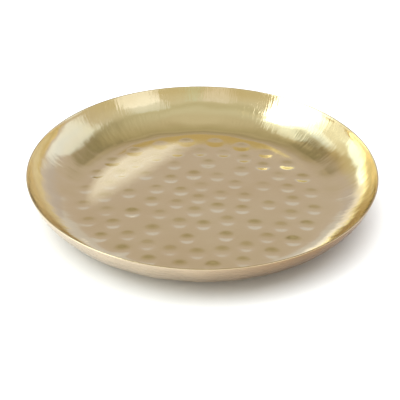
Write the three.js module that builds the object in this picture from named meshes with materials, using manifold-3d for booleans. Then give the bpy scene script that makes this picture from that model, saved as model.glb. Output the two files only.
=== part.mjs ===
// A hammered brass tray: one dish spun from sheet brass, struck all over its floor with rings of
// round hammer marks, and standing on four stick-on bumper feet.
// Millimetres, +Z up. The origin is on the table, on the dish's centre line.
import * as THREE from "three";
import { mergeVertices } from "three/addons/utils/BufferGeometryUtils.js";
import Module from "manifold-3d";

const wasm = await Module();
wasm.setup();

// ---------- driving dimensions ----------

const RIM_RADIUS = 150; // outermost reach of the lip
const WALL_RUN = 43; // how far the wall reaches out beyond the flat floor
const DISH_HEIGHT = 32.7; // underside of the floor to the top of the lip
const SHEET = 1.2; // thickness of the brass, the same all over

const MARK_RADIUS = 7.4; // one hammer mark, a round hollow in the floor
const MARK_DEPTH = 0.8;
const RING_PITCH = 20.4; // from one ring of marks to the next
const WALL_MARGIN = 7.2; // from the last ring's centres to the edge of the flat floor
const FIRST_TURN = THREE.MathUtils.degToRad(21.8); // where the innermost ring starts
const STRIKE_OFFSET = new THREE.Vector2(-3, -3); // the rings were struck a little off the centre line
const WANDER = 0.5; // how far a mark strays from its place, struck by eye

const FOOT_COUNT = 4;
const FOOT_RADIUS = 5; // where the foot sticks to the dish
const FOOT_TREAD_RADIUS = 3.9; // its flat face on the table
const FOOT_HEIGHT = 2.4;
const FOOT_ROUNDING = 0.6; // between the foot's flank and its flat face
const SEAT_CLEARANCE = 0.3; // flat floor left between a foot and the back of a mark

// ---------- how finely round things are cut ----------

const DISH_SIDES = 72;
const WALL_STEPS = 8;
const LIP_STEPS = 4;
const MARK_SIDES = 10;
const MARK_STEPS = 2;
const FOOT_SIDES = 24;
const FOOT_STEPS = 3;

// ---------- sizes that follow ----------

const FLOOR_RADIUS = RIM_RADIUS - WALL_RUN;
// The middle of the sheet turns up from the floor on one arc, which ends at the lip.
const ARC_RUN = WALL_RUN - SHEET / 2;
const ARC_RISE = DISH_HEIGHT - SHEET;
const ARC_RADIUS = (ARC_RUN ** 2 + ARC_RISE ** 2) / (2 * ARC_RISE);
const ARC_ANGLE = Math.atan2(ARC_RUN, ARC_RADIUS - ARC_RISE);
// A mark is a cap of the hammer's ball, and its back is the same cap one sheet further out.
const BALL_RADIUS = (MARK_RADIUS ** 2 + MARK_DEPTH ** 2) / (2 * MARK_DEPTH);
const BACK_BALL_RADIUS = BALL_RADIUS + SHEET;
const MARK_BACK_RADIUS = Math.sqrt(MARK_DEPTH * (2 * BACK_BALL_RADIUS - MARK_DEPTH));
const LAST_RING_RADIUS = FLOOR_RADIUS - WALL_MARGIN;
const RING_COUNT = Math.round(LAST_RING_RADIUS / RING_PITCH);

// ---------- between three.js geometry and closed solids ----------

function solidOf(geometry) {
  const bare = geometry.clone();
  bare.deleteAttribute("normal");
  bare.deleteAttribute("uv");
  const merged = mergeVertices(bare, 1e-4);
  return new wasm.Manifold(
    new wasm.Mesh({
      numProp: 3,
      vertProperties: merged.getAttribute("position").array,
      triVerts: new Uint32Array(merged.index.array),
    }),
  );
}

function geometryOf(solid) {
  const { vertProperties, triVerts } = solid.getMesh();
  const geometry = new THREE.BufferGeometry();
  geometry.setAttribute("position", new THREE.BufferAttribute(vertProperties, 3));
  geometry.setIndex(new THREE.BufferAttribute(triVerts, 1));
  geometry.computeVertexNormals();
  return geometry;
}

// A closed solid turned about +Z from a profile of [radius, height] points. The profile runs
// outwards along the bottom and then up and back to the axis, so that its faces point out.
function turned(profile, sides) {
  const points = profile.map(([r, z]) => new THREE.Vector2(r, z));
  return new THREE.LatheGeometry(points, sides).rotateX(Math.PI / 2);
}

// Profile points on an arc round [cr, cz], by angle from straight down, turning outwards.
function arc([cr, cz], radius, from, to, steps) {
  return Array.from({ length: steps + 1 }, (_, i) => {
    const angle = from + ((to - from) * i) / steps;
    return [cr + radius * Math.sin(angle), cz - radius * Math.cos(angle)];
  });
}

// ---------- the rings of hammer marks ----------

// A ring has six marks, twelve from the second ring, twenty-four from the fourth, and so on, and
// each ring is turned by half its own step from the one inside it.
function markRings() {
  const rings = [];
  let turn = FIRST_TURN;
  for (let n = 1; n <= RING_COUNT; n++) {
    const count = 6 * 2 ** Math.floor(Math.log2(n));
    const step = (2 * Math.PI) / count;
    if (n > 1) turn += step / 2;
    const radius = n < RING_COUNT ? n * RING_PITCH : LAST_RING_RADIUS;
    rings.push({ radius, count, step, turn });
  }
  return rings;
}

// A place in the rings' own polar frame, as a point on the dish.
function pointAt(radius, angle) {
  return new THREE.Vector2(radius, 0).rotateAround(new THREE.Vector2(), angle).add(STRIKE_OFFSET);
}

// A foot stands in a gap between two marks of the last ring, as far from them as from the mark
// inside the gap.
function footCentres() {
  const [inner, last] = markRings().slice(-2);
  const outReach = last.radius * Math.cos(last.step / 2);
  const radius = (last.radius ** 2 - inner.radius ** 2) / (2 * (outReach - inner.radius));
  return Array.from({ length: FOOT_COUNT }, (_, i) => {
    const steps = Math.round((i * last.count) / FOOT_COUNT) + 1.5;
    return pointAt(radius, last.turn + steps * last.step);
  });
}

// Every mark's centre, with its wander. A mark that would lift a foot off flat floor is not struck.
function markCentres() {
  const centres = [pointAt(0, 0)];
  for (const { radius, count, step, turn } of markRings()) {
    for (let k = 0; k < count; k++) centres.push(pointAt(radius, turn + k * step));
  }
  centres.forEach((centre, i) => {
    centre.x += WANDER * Math.sin(2.4 * i);
    centre.y += WANDER * Math.cos(3.7 * i);
  });
  const room = MARK_BACK_RADIUS + FOOT_RADIUS + SEAT_CLEARANCE;
  const feet = footCentres();
  return centres.filter((centre) => feet.every((foot) => foot.distanceTo(centre) >= room));
}

// ---------- the dish ----------

function spunDish() {
  const arcCentre = [FLOOR_RADIUS, ARC_RADIUS + SHEET / 2];
  const lipCentre = [RIM_RADIUS - SHEET / 2, DISH_HEIGHT - SHEET / 2];
  const outside = arc(arcCentre, ARC_RADIUS + SHEET / 2, 0, ARC_ANGLE, WALL_STEPS);
  const lip = arc(lipCentre, SHEET / 2, ARC_ANGLE, ARC_ANGLE + Math.PI, LIP_STEPS).slice(1, -1);
  const inside = arc(arcCentre, ARC_RADIUS - SHEET / 2, ARC_ANGLE, 0, WALL_STEPS);
  return turned([[0, 0], ...outside, ...lip, ...inside, [0, SHEET]], DISH_SIDES);
}

// What one blow presses out of the floor's top.
function markHollow(ballCentre) {
  const cap = arc(ballCentre, BALL_RADIUS, 0, Math.asin(MARK_RADIUS / BALL_RADIUS), MARK_STEPS);
  const above = 2 * SHEET;
  return solidOf(turned([...cap, [MARK_RADIUS, above], [0, above]], MARK_SIDES));
}

// What the same blow makes stand out under the floor.
function markBack(ballCentre) {
  const edge = Math.asin(MARK_BACK_RADIUS / BACK_BALL_RADIUS);
  const cap = arc(ballCentre, BACK_BALL_RADIUS, 0, edge, MARK_STEPS);
  const inSheet = SHEET / 2;
  return solidOf(turned([...cap, [MARK_BACK_RADIUS, inSheet], [0, inSheet]], MARK_SIDES));
}

function hammeredDish() {
  const ballCentre = [0, SHEET - MARK_DEPTH + BALL_RADIUS];
  const hollow = markHollow(ballCentre);
  const back = markBack(ballCentre);
  const centres = markCentres();
  let solid = solidOf(spunDish());
  for (const { x, y } of centres) solid = solid.add(back.translate([x, y, 0]));
  for (const { x, y } of centres) solid = solid.subtract(hollow.translate([x, y, 0]));
  return geometryOf(solid);
}

// ---------- a bumper foot ----------

// A short cone, flat where it sticks to the dish and flat where it stands on the table.
function bumperFoot() {
  const roundingCentre = [FOOT_TREAD_RADIUS, FOOT_ROUNDING];
  const rounding = arc(roundingCentre, FOOT_ROUNDING, 0, Math.PI / 2, FOOT_STEPS);
  const profile = [[0, 0], ...rounding, [FOOT_RADIUS, FOOT_HEIGHT], [0, FOOT_HEIGHT]];
  return turned(profile, FOOT_SIDES);
}

// ---------- the assembly ----------

function brass() {
  return new THREE.MeshStandardMaterial({ color: 0xd8b878, metalness: 1, roughness: 0.3 });
}

function blackRubber() {
  return new THREE.MeshStandardMaterial({ color: 0x2a2826, metalness: 0, roughness: 0.7 });
}

const tray = new THREE.Group();

const body = new THREE.Mesh(hammeredDish(), brass());
body.name = "tray_body";
body.position.z = FOOT_HEIGHT;
tray.add(body);

footCentres().forEach(({ x, y }, i) => {
  const foot = new THREE.Mesh(bumperFoot(), blackRubber());
  foot.name = `bumper_foot_${i + 1}`;
  foot.position.set(x, y, 0);
  tray.add(foot);
});

export default tray;
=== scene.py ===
"""A hammered brass tray on a pale table: a dish spun from one sheet, and four bumper feet under it.

Metres, +Z up, standing on z = 0 round the origin.
"""
import math

import bpy
import numpy as np
from mathutils import Matrix, Vector


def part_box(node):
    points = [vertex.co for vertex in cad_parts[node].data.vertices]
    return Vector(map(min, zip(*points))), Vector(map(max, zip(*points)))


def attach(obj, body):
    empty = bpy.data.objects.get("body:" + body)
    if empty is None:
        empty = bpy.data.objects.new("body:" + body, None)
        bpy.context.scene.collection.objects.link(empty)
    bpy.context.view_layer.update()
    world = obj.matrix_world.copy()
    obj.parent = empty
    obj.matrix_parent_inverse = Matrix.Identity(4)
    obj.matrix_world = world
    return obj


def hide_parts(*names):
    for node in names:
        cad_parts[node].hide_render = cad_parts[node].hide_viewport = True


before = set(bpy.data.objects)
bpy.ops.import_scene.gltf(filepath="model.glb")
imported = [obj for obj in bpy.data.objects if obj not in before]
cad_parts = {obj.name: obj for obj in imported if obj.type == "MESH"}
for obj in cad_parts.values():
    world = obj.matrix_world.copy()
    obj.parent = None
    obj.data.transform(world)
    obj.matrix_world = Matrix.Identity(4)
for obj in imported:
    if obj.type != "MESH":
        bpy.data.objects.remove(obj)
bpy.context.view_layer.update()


# ------------------------------------------------------------------ the sheet
# The dish is one disc of 1.2 mm brass, spun on a lathe over a former. Its floor is flat, and its
# wall turns up from the floor on one round curve that ends at the plain, dressed lip.

MM = 0.001
SHEET = 1.2 * MM
WALL_RUN = 43 * MM

dish_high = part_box("tray_body")[1]
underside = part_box("bumper_foot_1")[1].z
rim_radius = dish_high.x
floor_radius = rim_radius - WALL_RUN

# The middle of the sheet rises on an arc from the floor's edge to the middle of the lip.
arc_run = WALL_RUN - SHEET / 2
arc_rise = dish_high.z - underside - SHEET
arc_radius = (arc_run**2 + arc_rise**2) / (2 * arc_rise)
arc_angle = math.atan2(arc_run, arc_radius - arc_rise)

FLOOR_STEPS = 78  # grid steps from the centre to the floor's edge
WALL_STEPS = 28  # and from there to the lip


def folded_disc(steps):
    """A square grid folded onto a disc: each square ring of its points becomes a circle.

    Gives each point's share of the way out, 0 to 1, and its turn. In the left and right quarters
    of the square the turn is v over u, in eighths of a full turn. In the upper and lower ones it
    is 2 less u over v. Half a turn is added where the larger of u and v is negative.
    """
    side = np.linspace(-1, 1, 2 * steps + 1)
    u, v = np.meshgrid(side, side, indexing="xy")
    wide = abs(u) >= abs(v)
    reach = np.where(wide, u, v)
    slope = np.where(wide, v, u) / np.where(reach == 0, 1, reach)
    turn = np.where(wide, slope, 2 - slope) * math.pi / 4 + np.where(reach < 0, math.pi, 0)
    return abs(reach), turn


def sheet_middle(share):
    """Radius, height and lean of the sheet's middle at a share of the way out.

    The floor runs level to its edge. On the wall the lean grows evenly from 0 to the arc's angle:
    the radius is the floor's plus the arc's radius times sin(lean), and the height is the floor's
    plus the arc's radius times 1 - cos(lean).
    """
    edge = FLOOR_STEPS / (FLOOR_STEPS + WALL_STEPS)
    lean = arc_angle * np.clip((share - edge) / (1 - edge), 0, 1)
    radius = floor_radius * np.clip(share / edge, 0, 1) + arc_radius * np.sin(lean)
    height = underside + SHEET / 2 + arc_radius * (1 - np.cos(lean))
    return radius, height, lean


# ------------------------------------------------------------------ the hammer marks
# A ball-faced hammer was struck down on the floor, in rings set out by eye: one blow in the
# middle, then rings of 6, 12, 12, 24 and 24, each turned half a step from the ring inside it.

MARK_RADIUS = 7.4 * MM
MARK_DEPTH = 0.8 * MM
RING_PITCH = 20.4 * MM
RING_COUNTS = (6, 12, 12, 24, 24)
WALL_MARGIN = 7.2 * MM  # from the last ring's centres to the edge of the flat floor
FIRST_TURN = math.radians(21.8)
STRIKE_OFFSET = np.array([-3, -3]) * MM  # the rings' middle, from the dish's centre
WANDER = 0.5 * MM  # how far a blow strays from its even place
WANDER_STEPS = (2.4, 3.7)  # radians of stray from one blow to the next, across and along

# No two blows are alike. Each has its own share of the depth and radius, and its own soft edge.
DEPTH_SHARES = (0.60, 1.05)
RADIUS_SHARES = (0.94, 1.04)
EDGE_SOFTNESS = (0.12, 0.50)
BLOW_REACH = 4  # a blow ends where q^2 is this, two radii out
BLOW_SEED = 7


def mark_centres():
    """Ring n's marks are even steps round a circle of n pitches, plus each mark's small wander."""
    centres = [[0.0, 0.0]]
    turn = FIRST_TURN
    for n, count in enumerate(RING_COUNTS, 1):
        step = 2 * math.pi / count
        if n > 1:
            turn += step / 2
        radius = n * RING_PITCH if n < len(RING_COUNTS) else floor_radius - WALL_MARGIN
        around = turn + step * np.arange(count)
        centres.extend(np.column_stack([radius * np.cos(around), radius * np.sin(around)]))
    index = np.arange(len(centres))
    stray = [np.sin(WANDER_STEPS[0] * index), np.cos(WANDER_STEPS[1] * index)]
    return np.array(centres) + STRIKE_OFFSET + WANDER * np.column_stack(stray)


def hammered(x, y, grown):
    """How far the blows, each wider by grown, have pressed the sheet down at x, y.

    One blow is a dish of its own: depth times (1 - q^2), with q the distance from its centre over
    its radius. Its edge is rounded by a soft maximum with zero, which is half of the dish plus
    the root of the dish squared and the softness squared, less what that leaves at its reach.
    """
    rng = np.random.default_rng(BLOW_SEED)
    pressed = np.zeros_like(x)
    for cx, cy in mark_centres():
        depth = MARK_DEPTH * rng.uniform(*DEPTH_SHARES)
        radius = MARK_RADIUS * rng.uniform(*RADIUS_SHARES) + grown
        soft = rng.uniform(*EDGE_SOFTNESS)
        q2 = ((x - cx) ** 2 + (y - cy) ** 2) / radius**2
        cap = 1 - np.minimum(q2, BLOW_REACH)
        tail = math.hypot(BLOW_REACH - 1, soft) - (BLOW_REACH - 1)
        pressed += depth * (cap + np.sqrt(cap**2 + soft**2) - tail) / 2
    return pressed


# ------------------------------------------------------------------ the dish's mesh
# Spinning and hand planishing leave the wall very slightly wavy, so its reflections have uneven
# edges. The two faces of the sheet are one grid each, joined round the lip by its rounded edge.

LIP_STEPS = 6
WAVE_COUNT = 60
WAVE_HEIGHT = 0.13 * MM
WAVE_LENGTHS = (9, 40)  # in mm
COMMON_LENGTH = 28  # a wave this long, in mm, has the plain height
WAVE_SEED = 3
FLOOR_WAVES = 0.25  # the floor's share of the wall's waviness
FOOT_FADE = 0.35  # lean, in radians, over which the wall's waviness comes in
LIP_FADE = 0.12  # and over which it dies away below the lip
UNDER_GROWTH = 0.15 * MM  # how much wider a blow is on the underside


def planished(x, y, z):
    """A smooth, even roll: many plane waves in random directions, added up, each as high as it
    is long."""
    rng = np.random.default_rng(WAVE_SEED)
    total = np.zeros_like(x)
    for _ in range(WAVE_COUNT):
        way = rng.normal(size=3)
        length = rng.uniform(*WAVE_LENGTHS)
        way *= 2 * math.pi / (length * MM) / np.linalg.norm(way)
        wave = np.sin(way[0] * x + way[1] * y + way[2] * z + rng.uniform(0, 2 * math.pi))
        total += wave * length / COMMON_LENGTH
    return WAVE_HEIGHT * total / math.sqrt(WAVE_COUNT / 2)


def dish_face(share, turn, side):
    """One face of the sheet, 1 the inside and -1 the outside.

    It is the sheet's middle moved along its normal: half a sheet to the face's side, then up by
    the waviness and down by the hammer's hollows.
    """
    radius, height, lean = sheet_middle(share)
    out = radius - side * SHEET / 2 * np.sin(lean)
    up = height + side * SHEET / 2 * np.cos(lean)
    x = out * np.cos(turn)
    y = out * np.sin(turn)
    below_lip = np.clip((arc_angle - lean) / LIP_FADE, 0, 1)
    on_wall = np.clip(lean / FOOT_FADE, 0, 1) * below_lip
    push = planished(x, y, up) * (FLOOR_WAVES + (1 - FLOOR_WAVES) * on_wall) * below_lip
    push -= hammered(x, y, 0 if side > 0 else UNDER_GROWTH)
    x -= push * np.sin(lean) * np.cos(turn)
    y -= push * np.sin(lean) * np.sin(turn)
    return np.stack([x, y, up + push * np.cos(lean)], axis=-1)


def border(grid):
    """The outermost ring of a square grid, anticlockwise, each point once."""
    return np.concatenate([grid[0, :-1], grid[:-1, -1], grid[-1, :0:-1], grid[:0:-1, 0]])


def quads(grid):
    """The faces of a grid of point numbers, wound anticlockwise as its rows and columns run."""
    corners = [grid[:-1, :-1], grid[:-1, 1:], grid[1:, 1:], grid[1:, :-1]]
    return np.stack(corners, axis=-1).reshape(-1, 4)


def mesh_piece(name, points, faces):
    """A smooth-shaded object at the origin, from an array of points and a list of faces."""
    mesh = bpy.data.meshes.new(name)
    mesh.from_pydata(points.tolist(), [], faces)
    mesh.shade_smooth()
    mesh.validate()
    piece = bpy.data.objects.new(name, mesh)
    bpy.context.scene.collection.objects.link(piece)
    return piece


share, turn = folded_disc(FLOOR_STEPS + WALL_STEPS)
inside = dish_face(share, turn, 1)
outside = dish_face(share, turn, -1)
inside_ids = np.arange(share.size).reshape(share.shape)
outside_ids = inside_ids + share.size

# The lip is a half circle from the inside's border to the outside's: the middle of the two, plus
# cos(bend) times half the gap across, plus sin(bend) times half a sheet the way the wall points.
inner_lip = border(inside)
outer_lip = border(outside)
lip_turn = border(turn)
middle = (inner_lip + outer_lip) / 2
across = (inner_lip - outer_lip) / 2
onward = np.stack([np.cos(arc_angle) * np.cos(lip_turn),
                   np.cos(arc_angle) * np.sin(lip_turn),
                   np.full_like(lip_turn, np.sin(arc_angle))], axis=-1) * SHEET / 2
bend = np.linspace(0, math.pi, LIP_STEPS + 1)[1:-1, None, None]
lip = middle + np.cos(bend) * across + np.sin(bend) * onward
lip_ids = np.arange(lip.shape[0] * lip.shape[1]).reshape(lip.shape[:2]) + 2 * share.size
rows = np.vstack([border(inside_ids), lip_ids, border(outside_ids)])
rows = np.hstack([rows, rows[:, :1]])

points = np.vstack([inside.reshape(-1, 3), outside.reshape(-1, 3), lip.reshape(-1, 3)])
faces = np.vstack([quads(inside_ids), quads(outside_ids)[:, ::-1], quads(rows)[:, ::-1]])
dish = mesh_piece("brass_dish", points, faces.tolist())


# ------------------------------------------------------------------ the brass
# Yellow brass. The inside is polished: round and round on the floor, and up and down the wall,
# which leaves fine streaks in what it mirrors. The outside is left duller, as it was brushed.

CLEAR_BRASS = (0.87, 0.72, 0.44)
PALE_BRASS = (0.91, 0.775, 0.49)
DULL_BRASS = (0.525, 0.435, 0.32)
WORN_BRASS = (0.63, 0.525, 0.395)
# Painted shade: the dark brown the outside is blended to towards its right front.
SHADED_BRASS = (0.27, 0.145, 0.05)
# Painted light: the pale colour of the pool of light the wall throws on the back left of the floor.
POOL_OF_LIGHT_COLOUR = (0.95, 0.84, 0.58)

# How rough each surface is, from its smoothest to its roughest spots.
FLOOR_SATIN = (0.10, 0.145)
LIGHT_POOL_SATIN = (0.15, 0.20)
WALL_SATIN = (0.07, 0.15)
OUTSIDE_SATIN = (0.22, 0.36)

# The polishing strokes stand this high, times each surface's own number.
STROKE_HEIGHT = 0.1 * MM
FLOOR_STROKES = 0.08
WALL_STROKES = 1.8
OUTSIDE_STROKES = 0.2

CLOUDS = 14  # slow changes of colour, in a metre
MOTTLES = 120  # and small spots of duller polish
# The painted pool of light is also made less metallic, so it takes more of the table's light.
LIGHT_POOL_METAL = 0.70  # how much the hazed floor still shines as metal

# The outside is painted darker and browner towards its right front, more and more towards that
# side's rim: painted shade, standing for the shadowed table it mirrors there.
SHADED_SIDE = (0.819, -0.574, 0)
SHADE_FROM = -10 * MM
SHADE_TO = 148 * MM


def new_material(name):
    """An empty node material and its Principled shader."""
    material = bpy.data.materials.new(name)
    material.use_nodes = True
    shader = material.node_tree.nodes["Principled BSDF"]
    return material, shader


class Nodes:
    """Short ways to add and join the nodes of a material or of the room's light."""

    def __init__(self, owner):
        self.tree = owner.node_tree

    def add(self, kind, **settings):
        """A node with its settings, and with plain values on its sockets, _ for a space."""
        node = self.tree.nodes.new(kind)
        for name, value in settings.items():
            if hasattr(node, name):
                setattr(node, name, value)
            else:
                node.inputs[name.replace("_", " ")].default_value = value
        return node

    def join(self, out, into):
        self.tree.links.new(out, into)

    def noise(self, vector, scale, detail, roughness):
        node = self.add("ShaderNodeTexNoise", Scale=scale, Detail=detail, Roughness=roughness)
        self.join(vector, node.inputs["Vector"])
        return node.outputs["Fac"]

    def ramp(self, value, low, high, start, end):
        """Maps value from low..high to start..end, held at the ends."""
        node = self.add("ShaderNodeMapRange", clamp=True, From_Min=low, From_Max=high,
                        To_Min=start, To_Max=end)
        self.join(value, node.inputs["Value"])
        return node.outputs["Result"]

    def maths(self, operation, first, second):
        """Two numbers put together; the second may be a plain value."""
        node = self.add("ShaderNodeMath", operation=operation)
        self.join(first, node.inputs[0])
        if isinstance(second, (int, float)):
            node.inputs[1].default_value = second
        else:
            self.join(second, node.inputs[1])
        return node.outputs[0]

    def mix(self, factor, first, second):
        """A number between two others."""
        node = self.add("ShaderNodeMix", data_type="FLOAT")
        for socket, value in ((0, factor), (2, first), (3, second)):
            self.join(value, node.inputs[socket])
        return node.outputs[0]

    def blend(self, factor, first, second):
        """A colour between two others, each of them plain or a node's."""
        node = self.add("ShaderNodeMix", data_type="RGBA")
        self.join(factor, node.inputs[0])
        for socket, value in ((6, first), (7, second)):
            if isinstance(value, tuple):
                node.inputs[socket].default_value = (*value, 1)
            else:
                self.join(value, node.inputs[socket])
        return node.outputs[2]


def brass():
    """Polished brass inside and brushed, greyer brass outside, from the mesh's own patterns, with a
    painted shade on the outside's right front and a painted pool of light on the floor.

    "spin" runs fast across the circles and slowly along them, "rake" the other way about, and
    "where" holds 1 on the outside in x, the wall's lean, 0 to 1, in y, and the painted pool of
    light on the floor in z.
    """
    material, shader = new_material("satin_brass")
    nodes = Nodes(material)
    place = nodes.add("ShaderNodeTexCoord").outputs["Object"]
    spin = nodes.add("ShaderNodeAttribute", attribute_name="spin").outputs["Vector"]
    rake = nodes.add("ShaderNodeAttribute", attribute_name="rake").outputs["Vector"]
    where = nodes.add("ShaderNodeAttribute", attribute_name="where").outputs["Vector"]
    parts = nodes.add("ShaderNodeSeparateXYZ")
    nodes.join(where, parts.inputs[0])
    outside, wall, light_pool_share = parts.outputs["X"], parts.outputs["Y"], parts.outputs["Z"]
    mottle = nodes.noise(place, MOTTLES, 3, 0.6)
    brushed = nodes.noise(spin, 1, 2, 0.6)
    raked = nodes.noise(rake, 1, 3, 0.65)

    # Painted light: the pool of light's edge is made ragged with the brush strokes' noise.
    ragged = nodes.maths("ADD", light_pool_share, nodes.ramp(brushed, 0.2, 0.8, -0.2, 0.2))
    painted_light_pool = nodes.ramp(ragged, 0.1, 1.1, 0, 1)

    patchy = nodes.ramp(nodes.noise(place, CLOUDS, 4, 0.55), 0.35, 0.65, 0, 1)
    # Painted light: the floor's colour turns pale where the pool of light lies.
    polished = nodes.blend(painted_light_pool, nodes.blend(patchy, CLEAR_BRASS, PALE_BRASS), POOL_OF_LIGHT_COLOUR)
    dull = nodes.blend(nodes.ramp(brushed, 0.3, 0.7, 0, 1), DULL_BRASS, WORN_BRASS)
    # Painted shade: the outside darkens and browns towards its right front, growing as the square
    # of the way from its near side to the rim.
    toward_shade = nodes.add("ShaderNodeVectorMath", operation="DOT_PRODUCT")
    nodes.join(place, toward_shade.inputs[0])
    toward_shade.inputs[1].default_value = SHADED_SIDE
    into_shade = nodes.ramp(toward_shade.outputs["Value"], SHADE_FROM, SHADE_TO, 0, 1)
    dull = nodes.blend(nodes.maths("POWER", into_shade, 2), dull, SHADED_BRASS)
    nodes.join(nodes.blend(outside, polished, dull), shader.inputs["Base Color"])
    nodes.join(nodes.ramp(painted_light_pool, 0, 1, 1.0, LIGHT_POOL_METAL), shader.inputs["Metallic"])

    satin = nodes.ramp(mottle, 0.3, 0.7, *FLOOR_SATIN)
    floor_gloss = nodes.mix(painted_light_pool, satin, nodes.ramp(mottle, 0.3, 0.7, *LIGHT_POOL_SATIN))
    wall_gloss = nodes.ramp(raked, 0.3, 0.7, *WALL_SATIN)
    outside_gloss = nodes.ramp(brushed, 0.3, 0.7, *OUTSIDE_SATIN)
    gloss = nodes.mix(nodes.ramp(wall, 0.0, 0.25, 0, 1), floor_gloss, wall_gloss)
    nodes.join(nodes.mix(outside, gloss, outside_gloss), shader.inputs["Roughness"])

    floor_strokes = nodes.maths("MULTIPLY", brushed, FLOOR_STROKES)
    wall_strokes = nodes.maths("MULTIPLY", raked, WALL_STROKES)
    outside_strokes = nodes.maths("MULTIPLY", brushed, OUTSIDE_STROKES)
    strokes = nodes.mix(nodes.ramp(wall, 0.05, 0.4, 0, 1), floor_strokes, wall_strokes)
    bump = nodes.add("ShaderNodeBump", Strength=1.0, Distance=STROKE_HEIGHT)
    nodes.join(nodes.mix(outside, strokes, outside_strokes), bump.inputs["Height"])
    nodes.join(bump.outputs["Normal"], shader.inputs["Normal"])
    return material


# The polishing strokes' own coordinates, which have no seam.
BRUSH_ACROSS = 2500  # brush strokes in a metre, across the circles
BRUSH_ALONG = 6  # and in a radian, along them
RAKE_ROUND = 50  # wall streaks in a radian, each about 3 mm wide
RAKE_UP = 45  # and in a metre, from the floor's edge up

out_share = np.concatenate([share.ravel(), share.ravel(), np.ones(lip_ids.size)])
out_turn = np.concatenate([turn.ravel(), turn.ravel(), np.tile(lip_turn, LIP_STEPS - 1)])
radius, _, lean = sheet_middle(out_share)
travel = np.minimum(radius, floor_radius) + arc_radius * lean

# A painted pool of light, the bright light the curved wall throws onto the floor, lies along the
# back left of the floor, between a straight line and the foot of the wall. It comes in past that
# line, fades out again just short of the wall, and thins towards the two ends of the line.
POOL_BEARING = math.radians(-50.8)
POOL_LINE = 57 * MM  # from the dish's centre
POOL_HALF = 95 * MM  # half the wipe's length
POOL_FADE = 20 * MM
WALL_GAP = 3 * MM
WALL_FADE = 10 * MM
END_THINNING = 0.5

past_pool_line = radius * np.sin(POOL_BEARING + out_turn) - POOL_LINE
along_pool_line = radius * np.cos(POOL_BEARING + out_turn) / POOL_HALF
short_of_wall = floor_radius - WALL_GAP - radius
painted_light_pool = np.clip(past_pool_line / POOL_FADE, 0, 1) * np.clip(short_of_wall / WALL_FADE, 0, 1)
painted_light_pool *= 1 - END_THINNING * np.minimum(along_pool_line**2, 1)

is_outside = np.concatenate([np.zeros(share.size), np.ones(share.size), np.full(lip_ids.size, 0.5)])
brush_turn = (BRUSH_ALONG * np.cos(out_turn), BRUSH_ALONG * np.sin(out_turn))
rake_turn = (RAKE_ROUND * np.cos(out_turn), RAKE_ROUND * np.sin(out_turn))
patterns = {
    "spin": (*brush_turn, BRUSH_ACROSS * travel),
    "rake": (*rake_turn, RAKE_UP * travel),
    "where": (is_outside, lean / arc_angle, painted_light_pool * (is_outside == 0)),
}
for name, parts in patterns.items():
    values = np.stack(parts, axis=-1).ravel()
    dish.data.attributes.new(name, "FLOAT_VECTOR", "POINT").data.foreach_set("vector", values)
dish.data.materials.append(brass())
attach(dish, "root")
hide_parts("tray_body")


# ------------------------------------------------------------------ the bumper feet
# Four small moulded rubber bumpers, stuck under the floor between the last ring's marks. Each is
# a short cone, wider at the stuck end, with a rounded tread, and greyer where dust clings to it.

FOOT_SIDES = 64
CURVE_STEPS = 6
TREAD_RADIUS = 4.4 * MM
TREAD_ROUNDING = 0.7 * MM
TREAD_DISH = 0.12 * MM
TOP_ROUNDING = 0.25 * MM
FLANK_LEAN = math.radians(25)

BLACK_RUBBER = (0.018, 0.017, 0.016)
DUSTY_RUBBER = (0.07, 0.066, 0.06)


def foot_profile(radius, tread, height):
    """From the tread's middle out and up to the top's middle: a faint hollow, a round corner,
    the leaning flank, a smaller round corner, and the flat top."""
    hollow = np.linspace(0, 1, CURVE_STEPS + 1)[:, None]
    flat = tread - TREAD_ROUNDING
    bottom = np.hstack([flat * hollow, TREAD_DISH * (1 - hollow**2) ** 2])
    bend = np.linspace(0, math.pi / 2 - FLANK_LEAN, CURVE_STEPS + 1)[1:, None]
    corner = np.hstack([flat + TREAD_ROUNDING * np.sin(bend), TREAD_ROUNDING * (1 - np.cos(bend))])
    bend = np.linspace(-FLANK_LEAN, math.pi / 2, CURVE_STEPS + 1)[:, None]
    shoulder = np.hstack([radius - TOP_ROUNDING + TOP_ROUNDING * np.cos(bend),
                          height - TOP_ROUNDING + TOP_ROUNDING * np.sin(bend)])
    top = np.array([[radius / 2, height], [0, height]])
    return np.vstack([bottom, corner, shoulder, top])


def turned_piece(name, profile, centre):
    """A profile of radius and height, from axis to axis, carried once round a vertical axis."""
    turn = np.linspace(0, 2 * math.pi, FOOT_SIDES, endpoint=False)
    ring = profile[1:-1]
    points = np.stack([np.outer(ring[:, 0], np.cos(turn)), np.outer(ring[:, 0], np.sin(turn)),
                       np.repeat(ring[:, 1:], FOOT_SIDES, axis=1)], axis=-1).reshape(-1, 3)
    ends = np.array([[0, 0, profile[0, 1]], [0, 0, profile[-1, 1]]])
    ids = np.arange(len(points)).reshape(len(ring), FOOT_SIDES)
    wrapped = np.hstack([ids, ids[:, :1]])
    first, last = len(points), len(points) + 1
    caps = [(first, b, a) for a, b in zip(wrapped[0, :-1], wrapped[0, 1:])]
    caps += [(last, a, b) for a, b in zip(wrapped[-1, :-1], wrapped[-1, 1:])]
    return mesh_piece(name, np.vstack([points, ends]) + centre, quads(wrapped).tolist() + caps)


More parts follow.
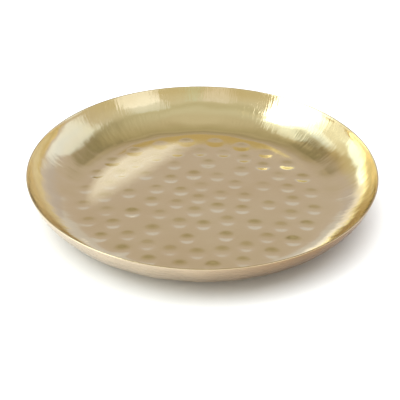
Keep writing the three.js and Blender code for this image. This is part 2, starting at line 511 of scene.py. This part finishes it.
def bumper_rubber():
    """Black moulded rubber with a fine grain and a little grey dust in patches."""
    material, shader = new_material("bumper_rubber")
    nodes = Nodes(material)
    place = nodes.add("ShaderNodeTexCoord").outputs["Object"]
    dust = nodes.noise(place, 600, 4, 0.6)
    grain = nodes.noise(place, 6000, 2, 0.5)
    colour = nodes.blend(nodes.ramp(dust, 0.45, 0.75, 0, 1), BLACK_RUBBER, DUSTY_RUBBER)
    nodes.join(colour, shader.inputs["Base Color"])
    nodes.join(nodes.ramp(dust, 0.3, 0.7, 0.55, 0.8), shader.inputs["Roughness"])
    bump = nodes.add("ShaderNodeBump", Strength=0.25, Distance=0.03 * MM)
    nodes.join(grain, bump.inputs["Height"])
    nodes.join(bump.outputs["Normal"], shader.inputs["Normal"])
    return material


rubber = bumper_rubber()
for node in sorted(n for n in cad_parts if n.startswith("bumper_foot_")):
    low, high = (np.array(corner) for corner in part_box(node))
    centre = (low + high) / 2 * [1, 1, 0]
    profile = foot_profile((high[0] - low[0]) / 2, TREAD_RADIUS, high[2])
    foot = turned_piece(node.replace("bumper_foot", "bumper"), profile, centre)
    foot.data.materials.append(rubber)
    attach(foot, "root")
    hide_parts(node)


# ------------------------------------------------------------------ the table and the room
# A plain white table in a plain room, with a tall bright window and its curtains on the left, a
# paler window on the right, one more with a fanlight in front, and a darker ceiling. The brass
# mirrors all of it, so the room is plain but not even.

TABLE_HALF = 6.0
ROOM_REACH = 12.0

corners = np.array([[-1, -1, 0], [1, -1, 0], [1, 1, 0], [-1, 1, 0]])
table = mesh_piece("table", corners * TABLE_HALF, [[0, 1, 2, 3]])
table_finish, table_shader = new_material("pale_table")
table_shader.inputs["Base Color"].default_value = (0.92, 0.92, 0.92, 1)
table_shader.inputs["Roughness"].default_value = 0.9
table.data.materials.append(table_finish)


def soft_light(name, glow, colour, centre, away, wide, tall, lean=0.0):
    """A flat soft light at centre, facing back along away, wide by tall in metres and turned by
    lean. glow is its brightness as a mirror would show it."""
    light = bpy.data.lights.new(name, "AREA")
    light.shape = "RECTANGLE"
    light.size = wide
    light.size_y = tall
    light.energy = glow * math.pi * wide * tall
    light.color = colour
    panel = bpy.data.objects.new(name, light)
    facing_back = away.to_track_quat("Z", "Y").to_matrix().to_4x4()
    panel.matrix_world = Matrix.Translation(centre) @ facing_back @ Matrix.Rotation(lean, 4, "Z")
    bpy.context.scene.collection.objects.link(panel)
    return panel


def towards(bearing, rise):
    """The way to a point in the room: 0 is behind the tray, 90 to its right, rise is upwards."""
    around, upwards = math.radians(bearing), math.radians(rise)
    level = math.cos(upwards)
    return Vector((math.sin(around) * level, math.cos(around) * level, math.sin(upwards)))


def window(name, facing, left, right, sill, head, glow, colour):
    """An upright window in the wall square to the bearing facing. It runs from left to right in
    bearings, and from sill to head in the rise they would have straight ahead."""
    away = towards(facing, 0)
    along = towards(facing + 90, 0)
    low, high = (ROOM_REACH * math.tan(math.radians(angle)) for angle in (sill, head))
    start, end = (ROOM_REACH * math.tan(math.radians(angle - facing)) for angle in (left, right))
    centre = away * ROOM_REACH + along * (start + end) / 2 + Vector((0, 0, (low + high) / 2))
    return soft_light(name, glow, colour, centre, away, end - start, high - low)


def hanging_panel(name, bearing, rise, wide, tall, glow, colour, lean=0.0):
    """A soft light hung square to the tray, sized in degrees as seen from it."""
    away = towards(bearing, rise)
    spans = (2 * ROOM_REACH * math.tan(math.radians(angle) / 2) for angle in (wide, tall))
    return soft_light(name, glow, colour, away * ROOM_REACH, away, *spans, math.radians(lean))


# The left wall: the bright pane, then curtains that let less and less through.
window("left_window", -71, -129.5, -97, 0, 64, 2.6, (0.84, 0.94, 1.0))
for n, (left, right, glow) in enumerate([(-97, -89, 1.3), (-89, -82, 0.75), (-82, -78, 0.3),
                                         (-78, -71, 0.50), (-71, -66, 0.30), (-66, -58, 0.26)]):
    window(f"left_curtain_{n}", -71, left, right, 0, 60, glow, (0.75, 0.92, 1.0))

# Low windows in the wall behind, and what light is left on the ceiling over the left.
window("low_left", -45, -67, -33, 0, 16, 1.1, (0.55, 0.80, 1.0))
window("low_behind", -20, -42, 3, 0, 17, 0.36, (0.95, 1.0, 1.0))
window("low_middle", 0, -13, 12, 6, 26, 0.14, (0.60, 0.82, 1.0))
hanging_panel("ceiling_glow", -85, 64, 50, 8, 0.17, (1.0, 0.95, 0.8))
hanging_panel("ceiling_bright", -82, 61, 32, 12, 0.5, (0.6, 0.8, 1.0))
hanging_panel("high_left", -78, 37, 22, 16, 0.5, (0.42, 0.66, 1.0))

# The right wall, the corner in front of it, the wall in front, and a pale beam overhead.
window("right_window", 70, 47.5, 92, 7, 44.5, 0.58, (0.52, 0.71, 0.95))
window("front_right_window", 133, 119.5, 147.5, 2, 36, 0.62, (0.62, 0.72, 1.0))
window("front_right_fanlight", 133, 119.5, 147.5, 2, 52, 0.36, (0.5, 0.66, 1.0))
window("pale_curtain", -170, -177, -162.5, 3, 43, 0.26, (0.58, 0.64, 1.0))
window("green_curtain", 173, 169.5, 177.5, 3, 42, 0.15, (0.05, 0.75, 1.0))
hanging_panel("pale_beam", -2, 50, 22, 14, 0.1, (1.0, 0.9, 0.8))

# A wide light for the table alone, so that the brass doesn't mirror it.
table_light = hanging_panel("table_light", -30, 78, 95, 85, 2.15, (0.94, 0.96, 1.0))
table_light.visible_glossy = False

# Each wall's colours from the table's height up to the zenith, against the sine of the rise.
WALL_COLOURS = {
    "behind": [(0.0, (0.66, 0.58, 0.52)), (0.17, (0.60, 0.57, 0.64)), (0.35, (0.53, 0.51, 0.59)),
               (0.50, (0.545, 0.495, 0.505)), (0.63, (0.515, 0.47, 0.45)),
               (0.70, (0.36, 0.32, 0.25)), (0.76, (0.25, 0.23, 0.15)), (0.82, (0.38, 0.35, 0.24)),
               (0.90, (0.46, 0.43, 0.30)), (0.966, (0.50, 0.46, 0.34)), (1.0, (0.60, 0.57, 0.46))],
    "left": [(0.0, (0.66, 0.60, 0.45)), (0.17, (0.68, 0.64, 0.48)), (0.35, (0.62, 0.57, 0.40)),
             (0.50, (0.58, 0.51, 0.34)), (0.60, (0.44, 0.37, 0.22)), (0.70, (0.28, 0.23, 0.13)),
             (0.78, (0.26, 0.22, 0.13)), (0.88, (0.42, 0.39, 0.28)), (1.0, (0.60, 0.57, 0.46))],
    "facing": [(0.0, (0.60, 0.55, 0.38)), (0.25, (0.62, 0.57, 0.40)), (0.50, (0.66, 0.63, 0.50)),
               (0.62, (0.66, 0.65, 0.55)), (0.78, (0.57, 0.57, 0.45)), (0.92, (0.64, 0.65, 0.56)),
               (1.0, (0.62, 0.60, 0.50))],
}

world = bpy.data.worlds.new("room")
bpy.context.scene.world = world
world.use_nodes = True
room = Nodes(world)
way = room.add("ShaderNodeSeparateXYZ")
room.join(room.add("ShaderNodeTexCoord").outputs["Generated"], way.inputs[0])


def wall_ramp(stops):
    """A wall's colour, eased from stop to stop as the way rises."""
    ramp = room.add("ShaderNodeValToRGB")
    ramp.color_ramp.interpolation = "EASE"
    while len(ramp.color_ramp.elements) < len(stops):
        ramp.color_ramp.elements.new(0.5)
    for element, (at, colour) in zip(ramp.color_ramp.elements, stops):
        element.position = at
        element.color = (*colour, 1)
    room.join(way.outputs["Z"], ramp.inputs[0])
    return ramp.outputs[0]


# The wall behind turns smoothly into the left one, and both into the one in front.
walls = wall_ramp(WALL_COLOURS["behind"])
for axis, other, start, end in (("X", "left", -0.35, -0.7), ("Y", "facing", 0.45, -0.45)):
    turning = room.add("ShaderNodeMapRange", interpolation_type="SMOOTHSTEP",
                       From_Min=start, From_Max=end)
    room.join(way.outputs[axis], turning.inputs["Value"])
    walls = room.blend(turning.outputs[0], walls, wall_ramp(WALL_COLOURS[other]))
room.join(walls, world.node_tree.nodes["Background"].inputs["Color"])


# ------------------------------------------------------------------ the camera
# It stands about a metre from the tray and 31 degrees above it, with a short telephoto lens, and
# aims a little under the rim's centre.

CAMERA_RISE = math.radians(31.04)
CAMERA_DISTANCE = 1.0065
CAMERA_ROLL = math.radians(0.58)
AIM_DOWN = math.radians(1.647)
AIM_LEFT = math.radians(-0.114)
LENS_LENGTH = 105.7
SENSOR_WIDTH = 36

camera = bpy.data.objects.new("camera", bpy.data.cameras.new("camera"))
bpy.context.scene.collection.objects.link(camera)
camera.data.lens = LENS_LENGTH
camera.data.sensor_width = SENSOR_WIDTH
rim_centre = Vector((0, 0, dish_high.z))
back = Vector((0, -math.cos(CAMERA_RISE), math.sin(CAMERA_RISE)))
camera_turn = (Matrix.Rotation(-AIM_LEFT, 4, "Z")
               @ Matrix.Rotation(math.pi / 2 - CAMERA_RISE - AIM_DOWN, 4, "X")
               @ Matrix.Rotation(CAMERA_ROLL, 4, "Z"))
camera.matrix_world = Matrix.Translation(rim_centre + back * CAMERA_DISTANCE) @ camera_turn
bpy.context.scene.camera = camera
bpy.context.scene.view_settings.view_transform = "Standard"
